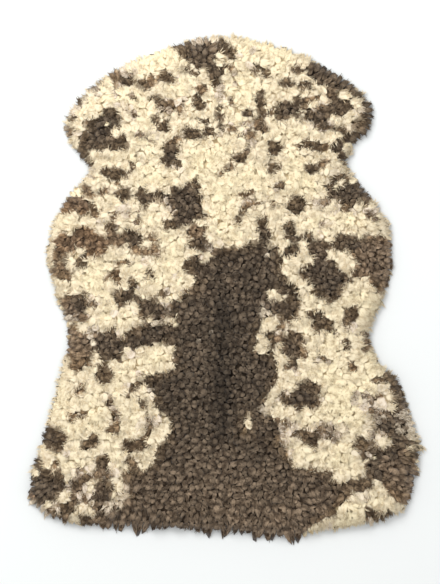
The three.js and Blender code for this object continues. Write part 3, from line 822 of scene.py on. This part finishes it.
    # Rise and fold mark where the material paints the shade deep in the pile and along the tuft
    # creases.
    store(mesh, tone=np.repeat(mixed, each) + 0.6 * coat_at(moved)[0],
          own=np.repeat(own, each), grizzle=np.repeat(grown.grizzle, each),
          fringe=np.repeat(grown.fringe, each), fluff=np.repeat(fluff, each), rise=rise,
          fold=soft_step(fold, 0, 3.5), facing=facing, strand=np.concatenate(strands, axis=1),
          coat=np.repeat(np.column_stack([colour, np.ones(count)]), each, axis=0),
          lean=np.column_stack([flow, np.zeros(len(flow))]))
    mesh.materials.append(wool_material())
    blend_normals(mesh, facing, soften * rise)
    return mesh


def blend_normals(mesh, facing, share):
    """Turns the mesh's shading that share of the way to the given directions, as light that
    passes through wool does."""
    mesh.polygons.foreach_set("use_smooth", [True] * len(mesh.polygons))
    normals = np.empty(3 * len(mesh.vertices), np.float32)
    mesh.vertex_normals.foreach_get("vector", normals)
    normals = normals.reshape(-1, 3)
    normals = normals + share[:, None] * (facing - normals)
    normals /= np.linalg.norm(normals, axis=1)[:, None]
    mesh.normals_split_custom_set_from_vertices(normals.tolist())


def store(mesh, **layers):
    """Gives the mesh's points those numbers, vectors or colours as attributes."""
    for name, values in layers.items():
        values = np.ascontiguousarray(values, np.float32)
        width = 1 if values.ndim == 1 else values.shape[-1]
        kind, field = {1: ("FLOAT", "value"), 3: ("FLOAT_VECTOR", "vector"),
                       4: ("FLOAT_COLOR", "color")}[width]
        mesh.attributes.new(name, kind, "POINT").data.foreach_set(field, values.ravel())


def link_object(name, data):
    """Puts a new mesh, lamp or camera into the scene under that name."""
    made = bpy.data.objects.new(name, data)
    bpy.context.scene.collection.objects.link(made)
    return made


def finish_piece(piece, slot, smooth=True):
    """Everything that a finished piece of the pelt needs from the frame."""
    piece.data.polygons.foreach_set("use_smooth", [smooth] * len(piece.data.polygons))
    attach(piece, BODY)
    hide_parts(NODE)
    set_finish(piece, slot)
    return piece


def wisp_parts(length, width, bends):
    """A closed slender wisp of fibres that bends: places, faces and strand coordinates."""
    places, strands = [(0, 0, 0)], [(0, 0, 0)]
    for index, bend in enumerate(bends):
        high = (index + 1) / (len(bends) + 1) * length
        thick = width / 2 * (1 - 0.35 * index)
        for angle in np.arange(3) * 2 * math.pi / 3:
            x, y = thick * math.cos(angle), thick * math.sin(angle)
            places.append((bend + x, y, high))
            strands.append((x, high, y))
    top = len(places) - 3
    places.append((bends[-1] * 1.9, 0, length))
    strands.append((0, length, 0))
    faces = []
    for k, after in ((0, 1), (1, 2), (2, 0)):
        faces += [(0, 1 + after, 1 + k), (top + k, top + after, top + 3)]
        faces += [(base + k, base + after, base + 3 + after, base + 3 + k)
                  for base in range(1, top, 3)]
    return np.array(places, float), faces, np.array(strands, float)


def kite_parts(length, width, bend):
    """The smallest closed wisp: a slender kite with a ridge along its top."""
    low = 0.45 * bend + 0.35 * width
    places = np.array([(0, 0, 0), (bend, 0, length), (low, width / 2, 0.45 * length),
                       (low, -width / 2, 0.45 * length)], float)
    return places, [(1, 3, 2), (0, 1, 2), (0, 2, 3), (0, 3, 1)], places[:, [1, 2, 0]]


def wisp_patterns():
    """The wisps of fibre that are repeated, in a collection."""
    shelf = bpy.data.collections.new("wisp_patterns")
    shapes = [kite_parts(8.5, 1.7, 1.6), wisp_parts(10.5, 1.3, (0.5, 1.6)),
              kite_parts(7.5, 1.9, 1.0), kite_parts(10.0, 1.5, 2.2), kite_parts(9.0, 1.3, 3.0)]
    for index, (places, faces, strands) in enumerate(shapes):
        mesh = bpy.data.meshes.new(f"wisp_{index}")
        mesh.from_pydata((places * MM).tolist(), [], faces)
        # Rise grows from 0 at a wisp's root to 1 at its tip, so its root gets painted shade.
        store(mesh, rise=np.clip(places[:, 2] / places[:, 2].max(), 0, 1), strand=strands)
        shelf.objects.link(bpy.data.objects.new(mesh.name, mesh))
    return shelf


def clear_patterns(shelf):
    """Takes away the shapes that only served as patterns."""
    for pattern in list(shelf.objects):
        mesh = pattern.data
        bpy.data.objects.remove(pattern)
        bpy.data.meshes.remove(mesh)
    bpy.data.collections.remove(shelf)


def add_node(tree, kind, inputs=None, **settings):
    """A new node with its settings, and its inputs set or linked by name or number."""
    node = tree.nodes.new(kind)
    for key, value in settings.items():
        setattr(node, key, value)
    for key, value in (inputs or {}).items():
        if isinstance(value, bpy.types.NodeSocket):
            tree.links.new(value, node.inputs[key])
        else:
            node.inputs[key].default_value = value
    return node


def read_attribute(tree, name, kind="FLOAT"):
    """The values kept on the points under that name."""
    return add_node(tree, "GeometryNodeInputNamedAttribute", {"Name": name},
                    data_type=kind).outputs["Attribute"]


def random_value(tree, kind, low, high, seed):
    """A seeded random number or vector for each point."""
    place = ("FLOAT_VECTOR", "FLOAT", "INT").index(kind)
    inputs = {2 * place: low, 2 * place + 1: high, "Seed": seed}
    return add_node(tree, "FunctionNodeRandomValue", inputs, data_type=kind).outputs[place]


def maths(tree, operation, *values, **settings):
    """One sum on two numbers."""
    return add_node(tree, "ShaderNodeMath", dict(enumerate(values)), operation=operation,
                    **settings).outputs[0]


def vector_maths(tree, operation, *values):
    """One sum on two vectors."""
    return add_node(tree, "ShaderNodeVectorMath", dict(enumerate(values)),
                    operation=operation).outputs[0]


def scaled(tree, vector, scale):
    """The vector, made longer or shorter."""
    return add_node(tree, "ShaderNodeVectorMath", {0: vector, "Scale": scale},
                    operation="SCALE").outputs[0]


def map_range(tree, value, low, high, to_low=0.0, to_high=1.0, **settings):
    """The value, moved from one range to another."""
    return add_node(tree, "ShaderNodeMapRange", {
        "Value": value, "From Min": low, "From Max": high, "To Min": to_low,
        "To Max": to_high}, **settings).outputs[0]


def plant(tree, source, points, facing, scale, count):
    """Puts patterns on the points, makes them real, keeps them off the floor and dresses them."""
    which = random_value(tree, "INT", 0, count - 1, maths(tree, "ADD", source["Seed"], 7.0))
    patterns = add_node(tree, "GeometryNodeCollectionInfo", {
        "Collection": source["Patterns"], "Separate Children": True, "Reset Children": True})
    planted = add_node(tree, "GeometryNodeInstanceOnPoints", {
        "Points": points, "Instance": patterns.outputs[0], "Pick Instance": True,
        "Instance Index": which, "Rotation": facing, "Scale": scale}).outputs[0]
    real = add_node(tree, "GeometryNodeRealizeInstances", {"Geometry": planted}).outputs[0]
    place = add_node(tree, "GeometryNodeInputPosition").outputs[0]
    xyz = add_node(tree, "ShaderNodeSeparateXYZ", {0: place}).outputs
    lifted = maths(tree, "SMOOTH_MAX", xyz["Z"], source["Floor"], 0.002)
    moved = add_node(tree, "ShaderNodeCombineXYZ", {0: xyz["X"], 1: xyz["Y"], 2: lifted})
    settled = add_node(tree, "GeometryNodeSetPosition",
                       {"Geometry": real, "Position": moved.outputs[0]}).outputs[0]
    return add_node(tree, "GeometryNodeSetMaterial",
                    {"Geometry": settled, "Material": source["Material"]}).outputs[0]


def wisp_tree():
    """Wisps of fibre scattered over grown curls, lying down their sides and the way they lean."""
    tree = bpy.data.node_groups.new("wool_wisps", "GeometryNodeTree")
    for label, kind in (
            ("Geometry", "Geometry"), ("Patterns", "Collection"), ("Material", "Material"),
            ("Crowd", "Float"), ("Size", "Float"), ("Size Spread", "Float"), ("Lift", "Float"),
            ("Stray", "Float"), ("Floor", "Float"), ("Seed", "Int"), ("Fringe", "Float")):
        tree.interface.new_socket(label, in_out="INPUT", socket_type=f"NodeSocket{kind}")
    tree.interface.new_socket("Geometry", in_out="OUTPUT", socket_type="NodeSocketGeometry")
    source = tree.nodes.new("NodeGroupInput").outputs
    normal = add_node(tree, "GeometryNodeInputNormal").outputs[0]
    height = add_node(tree, "ShaderNodeSeparateXYZ", {0: normal}).outputs["Z"]
    crowd = maths(tree, "MULTIPLY", source["Crowd"],
                  map_range(tree, read_attribute(tree, "rise"), 0.5, 0.7))
    crowd = maths(tree, "MULTIPLY", crowd, map_range(tree, height, -0.1, 0.6))
    fringe = maths(tree, "MULTIPLY_ADD", read_attribute(tree, "fringe"), source["Fringe"], 1.0)
    spread = add_node(tree, "GeometryNodeDistributePointsOnFaces", {
        "Mesh": source["Geometry"], "Density": maths(tree, "MULTIPLY", crowd, fringe),
        "Seed": source["Seed"]}, distribute_method="RANDOM")
    seeds = [maths(tree, "ADD", source["Seed"], float(number)) for number in (2, 3, 4, 5)]
    kept = add_node(tree, "GeometryNodeStoreNamedAttribute", {
        "Geometry": spread.outputs["Points"], "Name": "own",
        "Value": random_value(tree, "FLOAT", 0.2, 1.5, seeds[0])}).outputs[0]

    normal = spread.outputs["Normal"]
    down = vector_maths(tree, "MULTIPLY", normal, (1.0, 1.0, 0.0))
    up = scaled(tree, normal, source["Lift"])
    stray = random_value(tree, "FLOAT_VECTOR", (-1.0, -1.0, -0.5), (1.0, 1.0, 0.5), seeds[1])
    stray = scaled(tree, stray, source["Stray"])
    lean = scaled(tree, read_attribute(tree, "lean", "FLOAT_VECTOR"), 1.3)
    way = vector_maths(tree, "ADD", vector_maths(tree, "ADD", down, up), stray)
    way = vector_maths(tree, "ADD", way, lean)
    point = add_node(tree, "FunctionNodeAlignRotationToVector", {"Vector": way}, axis="Z")
    drop = add_node(tree, "FunctionNodeAlignRotationToVector", {
        "Rotation": point.outputs[0], "Vector": (0.0, 0.0, -1.0)}, axis="X", pivot_axis="Z")
    turn = random_value(tree, "FLOAT", -0.7, 0.7, seeds[2])
    spin = add_node(tree, "FunctionNodeAxisAngleToRotation", {"Axis": (0, 0, 1), "Angle": turn})
    facing = add_node(tree, "FunctionNodeRotateRotation", {
        "Rotation": drop.outputs[0], "Rotate By": spin.outputs[0]}, rotation_space="LOCAL")
    low, high = (maths(tree, operation, source["Size"], source["Size Spread"])
                 for operation in ("SUBTRACT", "ADD"))
    scale = maths(tree, "MULTIPLY", random_value(tree, "FLOAT", low, high, seeds[3]),
                  read_attribute(tree, "fluff"))
    made = plant(tree, source, kept, facing.outputs[0], scale, 5)
    add_node(tree, "NodeGroupOutput", {0: made})
    return tree


def grow(name, source, tree, values):
    """Runs the tree on the source mesh and gives back what it makes as a plain mesh object."""
    carrier = link_object(f"{name}_carrier", source)
    modifier = carrier.modifiers.new("grow", "NODES")
    modifier.node_group = tree
    sockets = {s.name: s.identifier for s in tree.interface.items_tree if s.in_out == "INPUT"}
    for label, value in values.items():
        modifier[sockets[label]] = value
    bpy.context.view_layer.update()
    graph = bpy.context.evaluated_depsgraph_get()
    mesh = bpy.data.meshes.new_from_object(
        carrier.evaluated_get(graph), preserve_all_data_layers=True, depsgraph=graph)
    bpy.data.objects.remove(carrier)
    mesh.name = name
    return link_object(name, mesh)


def mix_colour(tree, share, first, second, blend="MIX"):
    """One colour mixed into another."""
    return add_node(tree, "ShaderNodeMix", {0: share, 6: first, 7: second}, data_type="RGBA",
                    blend_type=blend).outputs[2]


def new_material(name, looks):
    """A plain material with those numbers on its shader, the shader, and its node tree."""
    material = bpy.data.materials.new(name)
    material.use_nodes = True
    shader = material.node_tree.nodes["Principled BSDF"]
    for key, value in looks.items():
        shader.inputs[key].default_value = value
    return material, shader, material.node_tree


def wool_material():
    """Wool whose colour follows each curl's tone, darker at the roots and along the tuft creases as
    painted shade, with brown crests lighter partly as sun-faded tips and partly as painted
    highlight, and with fine strands.
    """
    if "curly_wool" in bpy.data.materials:
        return bpy.data.materials["curly_wool"]
    material, shader, tree = new_material("curly_wool", {
        "Roughness": 0.88, "Specular IOR Level": 0.2, "Sheen Weight": 0.2,
        "Sheen Roughness": 0.5})
    colours = bpy.context.scene.rug_colours
    read = {name: add_node(tree, "ShaderNodeAttribute", attribute_name=name).outputs
            for name in ("tone", "own", "rise", "fold", "coat", "strand", "grizzle", "fringe")}
    own, rise, fold, grizzle = (read[name]["Fac"] for name in ("own", "rise", "fold", "grizzle"))
    coat = read["coat"]["Color"]
    strands = add_node(tree, "ShaderNodeTexNoise", {
        "Vector": vector_maths(tree, "MULTIPLY", read["strand"]["Vector"], (0.5, 0.13, 0.2)),
        "W": maths(tree, "MULTIPLY", own, 40.0), "Scale": 1.3, "Detail": 2.5,
        "Roughness": 0.6}, noise_dimensions="4D").outputs["Fac"]

    # Cream wool turns to the root colour low in the pile and near the tuft creases: painted shade.
    shallow = map_range(tree, maths(tree, "MULTIPLY_ADD", fold, 0.35, rise), 0.3, 1.05)
    frost = maths(tree, "MULTIPLY_ADD", read["fringe"]["Fac"], 0.4, grizzle, use_clamp=True)
    crown = mix_colour(tree, frost, (*colours.cream, 1), (*colours.frost, 1))
    cream = mix_colour(tree, shallow, (*colours.cream_root_shade, 1), crown)
    # Painted shade along the creases between tufts of brown wool.
    crease_shade = map_range(tree, fold, 0.0, 1.0, 0.35, 1.0)
    lifted = map_range(tree, maths(tree, "MULTIPLY", rise, crease_shade), 0.1, 0.95)
    # Brown wool low in the pile is painted dark as the shade of the creases. Its crests, at 1.15
    # times the coat, are lighter partly as sun-faded tips and partly as painted highlight.
    deep = mix_colour(tree, 1.0, coat, (0.2, 0.155, 0.12, 1), "MULTIPLY")
    brown = mix_colour(tree, lifted, deep, scaled(tree, coat, 1.15))
    streak = map_range(tree, strands, 0.3, 0.7, -0.36, 0.36)
    tone = map_range(tree, maths(tree, "MULTIPLY_ADD", streak, grizzle, read["tone"]["Fac"]),
                     0.25, 0.75, interpolation_type="SMOOTHSTEP")
    wool = mix_colour(tree, tone, cream, brown)

    change = maths(tree, "ADD", map_range(tree, strands, 0.3, 0.7, -0.45, 0.4),
                   map_range(tree, own, 0.0, 1.0, -0.22, 0.22))
    much = map_range(tree, tone, 0.0, 1.0, 0.1, 1.15)
    light = maths(tree, "MULTIPLY_ADD", change, much, 1.0)
    tree.links.new(scaled(tree, wool, light), shader.inputs["Base Color"])
    bump = add_node(tree, "ShaderNodeBump", {
        "Strength": 0.4, "Distance": 0.0012, "Height": strands})
    tree.links.new(bump.outputs[0], shader.inputs["Normal"])
    return material


def skin_material():
    """Sueded skin: pale tan with faint blotches and a short nap."""
    material, shader, tree = new_material("sueded_skin", {"Roughness": 0.92, "Sheen Weight": 0.3})
    skin = bpy.context.scene.rug_colours.skin
    place = add_node(tree, "ShaderNodeTexCoord").outputs["Object"]
    blotch, nap = (add_node(tree, "ShaderNodeTexNoise", {
        "Vector": place, "Scale": scale, "Detail": detail}).outputs["Fac"]
        for scale, detail in ((9.0, 4.0), (900.0, 2.0)))
    colour = mix_colour(tree, map_range(tree, blotch, 0.3, 0.7), (*[c * 0.72 for c in skin], 1),
                        (*skin, 1))
    tree.links.new(colour, shader.inputs["Base Color"])
    bump = add_node(tree, "ShaderNodeBump", {"Strength": 0.4, "Distance": 0.0004, "Height": nap})
    tree.links.new(bump.outputs[0], shader.inputs["Normal"])
    return material


class RUG_OT_underwool(bpy.types.Operator):
    """Make the dense under-wool that the curls stand in"""

    bl_idname = "rug.underwool"
    bl_label = "Under-wool"

    def execute(self, context):
        pitch, inset, base = 10.0, 9.0, 2.2
        depth = context.scene.rug_curls.curl_height / MM - 1
        line, outward = edge_line(pitch)
        ring = line - inset * outward
        low, high = ring.min(0), ring.max(0)
        inner = []
        for row, y in enumerate(np.arange(low[1], high[1], pitch * 0.866)):
            x = np.arange(low[0] + (row % 2) * pitch / 2, high[0], pitch)
            inner.append(np.stack([x, np.full_like(x, y)], axis=1))
        inner = np.concatenate(inner)
        inner = inner[edge_distance(inner, ring)[0] > 0.6 * pitch]

        def top(points):
            return np.maximum(wool_top(points, edge_distance(points, line)[0]) - depth, 3.0)

        mesh, places = closed_slab("underwool", ring, inner, top, base)
        darkness, _, hue = coat_at(places[:, :2])
        colour = coat_colour(places[:, :2], hue, context.scene.rug_colours)
        even = np.ones(len(places))
        # A low rise of 0.2 paints the under-wool with the shade deep in the pile: tan under cream
        # wool, near black under brown.
        store(mesh, tone=soft_step(darkness, 0.35, 0.65), own=0.3 * even, rise=0.2 * even,
              fold=even, coat=np.column_stack([colour, even]), strand=places * 0.06)
        mesh.materials.append(wool_material())
        finish_piece(link_object("underwool", mesh), "wool")
        return {"FINISHED"}


# Where each band of curls grows: brown or not, and from where to where along the pelt.
BANDS = {
    "brown_rump": (True, -600, -200), "brown_back": (True, -200, 600),
    "cream_rump": (False, -600, -60), "cream_ribs": (False, -60, 215),
    "cream_neck": (False, 215, 600),
}


class RUG_OT_curls(bpy.types.Operator):
    """Grow the brown and the cream curls over the under-wool"""

    bl_idname = "rug.curls"
    bl_label = "Curls"

    def execute(self, context):
        grown = growth()
        is_brown = grown.darkness > BROWN_FROM
        along = grown.points[:, 1]
        for place, (brown, low, high) in BANDS.items():
            chosen = np.flatnonzero((is_brown == brown) & (along >= low) & (along < high))
            mesh = curls_mesh(f"curls_{place}", grown, chosen, brown)
            finish_piece(link_object(f"curls_{place}", mesh), "wool")
        return {"FINISHED"}


class RUG_OT_wisps(bpy.types.Operator):
    """Grow loose wisps of fibre on the curls"""

    bl_idname = "rug.wisps"
    bl_label = "Wisps"

    def execute(self, context):
        curls = context.scene.rug_curls
        tree = wisp_tree()
        shelf = wisp_patterns()
        shared = {"Patterns": shelf, "Material": wool_material(), "Size": 1.0,
                  "Size Spread": 0.3, "Lift": 0.35, "Stray": 0.7, "Floor": 0.8 * MM,
                  "Seed": curls.seed + 40}
        for place, (brown, _, _) in BANDS.items():
            crowd, fringe, soften = ((curls.brown_wisps, 3.0, 0.7) if brown
                                     else (curls.cream_wisps, 0.8, 0.93))
            piece = grow(f"wisps_{place}", bpy.data.objects[f"curls_{place}"].data.copy(), tree,
                         {**shared, "Crowd": crowd, "Fringe": fringe})
            facing = np.empty(3 * len(piece.data.vertices), np.float32)
            piece.data.attributes["facing"].data.foreach_get("vector", facing)
            blend_normals(piece.data, facing.reshape(-1, 3), np.full(len(facing) // 3, soften))
            finish_piece(piece, "wool")
        clear_patterns(shelf)
        return {"FINISHED"}


class RUG_OT_skin(bpy.types.Operator):
    """Cut the tanned skin that the wool grows on"""

    bl_idname = "rug.skin"
    bl_label = "Skin"

    def execute(self, context):
        pelt = context.scene.rug_pelt
        line, outward = edge_line(8.0)
        ring = line - outward * pelt.skin_inset / MM

        def top(points):
            return np.full(len(points), pelt.skin_thickness / MM)

        mesh, _ = closed_slab("skin", ring, (), top, 0.0)
        mesh.materials.append(skin_material())
        piece = link_object("skin", mesh)
        finish_piece(piece, "skin", smooth=False)
        x, y = ring.T * MM
        area = abs(np.dot(x, np.roll(y, -1)) - np.dot(y, np.roll(x, -1))) / 2
        wool = [o for o in context.scene.objects if o.get("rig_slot") == "wool"]
        return {"FINISHED"}


class RUG_OT_studio(bpy.types.Operator):
    """Set up the pale floor, the soft lights and the camera above"""

    bl_idname = "rug.studio"
    bl_label = "Studio"

    def execute(self, context):
        studio = context.scene.rug_studio
        scene = context.scene
        half = 4.0
        mesh = bpy.data.meshes.new("floor")
        corners = [(-half, -half, 0), (half, -half, 0), (half, half, 0), (-half, half, 0)]
        mesh.from_pydata(corners, [], [(0, 1, 2, 3)])
        mesh.materials.append(new_material("pale_floor", {
            "Base Color": (0.83, 0.85, 0.845, 1), "Roughness": 0.9,
            "Specular IOR Level": 0.1})[0])
        floor = link_object("floor", mesh)

        sky = bpy.data.worlds.new("sky")
        sky.use_nodes = True
        glow = sky.node_tree.nodes["Background"].inputs
        glow["Color"].default_value = (1, 1, 1, 1)
        glow["Strength"].default_value = studio.sky_strength
        scene.world = sky

        lamp = bpy.data.lights.new("key", "AREA")
        lamp.energy = studio.key_power
        lamp.shape = "DISK"
        lamp.size = 1.6
        key = link_object("key", lamp)
        key.location = (-1.1, 1.7, 2.35)
        key.rotation_euler = (-key.location).to_track_quat("-Z", "Y").to_euler()

        view = bpy.data.cameras.new("camera")
        view.sensor_width = 36.0
        frame_height = PHOTO_HEIGHT * MM_A_PIXEL * MM
        view.lens = view.sensor_width * studio.camera_height / frame_height
        view.clip_end = 50.0
        camera = link_object("camera", view)
        camera.location = (-4 * MM_A_PIXEL * MM, -MM_A_PIXEL * MM, studio.camera_height)
        scene.camera = camera
        scene.view_settings.view_transform = "Standard"
        return {"FINISHED"}


class RUG_PT_panel(bpy.types.Panel):
    bl_idname = "RUG_PT_panel"
    bl_label = "Curly Shearling Rug"
    bl_space_type = "VIEW_3D"
    bl_region_type = "UI"
    bl_category = "Rug"

    def draw(self, context):
        scene = context.scene
        for group in (scene.rug_pelt, scene.rug_curls, scene.rug_colours, scene.rug_studio):
            box = self.layout.box()
            for key in group.__annotations__:
                box.prop(group, key)
        for step in STEPS:
            self.layout.operator(step.bl_idname)


STEPS = [RUG_OT_underwool, RUG_OT_curls, RUG_OT_wisps, RUG_OT_skin, RUG_OT_studio]
GROUPS = {"rug_pelt": RugPelt, "rug_curls": RugCurls, "rug_colours": RugColours,
          "rug_studio": RugStudio}


def register():
    for group in GROUPS.values():
        bpy.utils.register_class(group)
    for step in STEPS:
        bpy.utils.register_class(step)
    bpy.utils.register_class(RUG_PT_panel)
    for name, group in GROUPS.items():
        setattr(bpy.types.Scene, name, PointerProperty(type=group))


def unregister():
    for name in GROUPS:
        delattr(bpy.types.Scene, name)
    for made in [RUG_PT_panel, *reversed(STEPS), *GROUPS.values()]:
        bpy.utils.unregister_class(made)


def main():
    register()
    bpy.ops.rug.underwool()
    bpy.ops.rug.curls()
    bpy.ops.rug.wisps()
    bpy.ops.rug.skin()
    bpy.ops.rug.studio()


if __name__ == "__main__":
    main()
